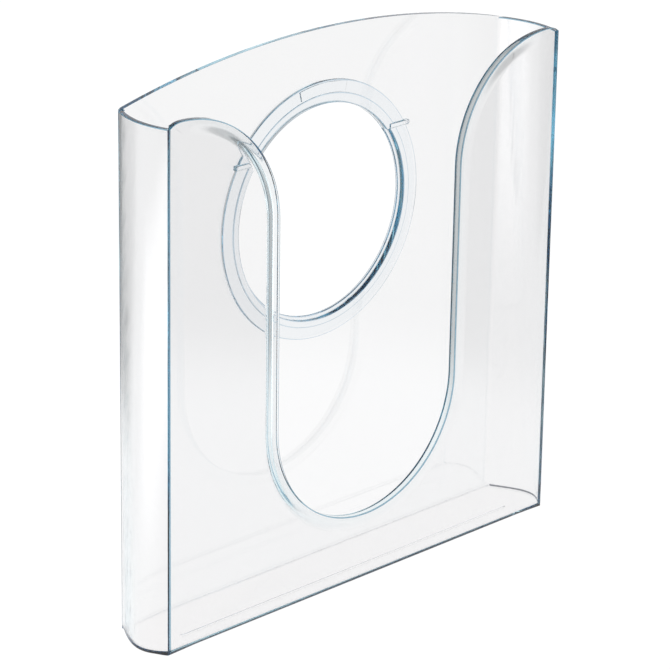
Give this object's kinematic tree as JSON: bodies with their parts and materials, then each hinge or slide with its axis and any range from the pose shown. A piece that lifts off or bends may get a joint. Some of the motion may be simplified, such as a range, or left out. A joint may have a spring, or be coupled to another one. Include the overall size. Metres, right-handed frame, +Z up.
{
  "type": "magazine file holder",
  "caption": "Clear wall pocket for upright A4 magazines, with an arched back, a round hanging opening and a round-bottomed front cut-out.",
  "frame": {"origin": "middle of the bounding box's bottom face, on the surface that the holder stands on", "axes": "+X across the pocket to the right as seen from the front, +Y to the back (wall side), +Z up"},
  "size_m": [0.2624, 0.038, 0.2655],
  "materials": {
    "clear_wall": "polished clear polystyrene, faintly cool, with bright edges",
    "clear_ring": "polished clear polystyrene, thicker section with a slight blue cast"
  },
  "bodies": {
    "root": {"back_panel": "clear_wall", "front_panel": "clear_wall", "left_side_wall": "clear_wall", "right_side_wall": "clear_wall", "floor_panel": "clear_wall", "ring_lower_arc": "clear_ring", "ring_upper_arc": "clear_ring"}
  },
  "joints": []
}
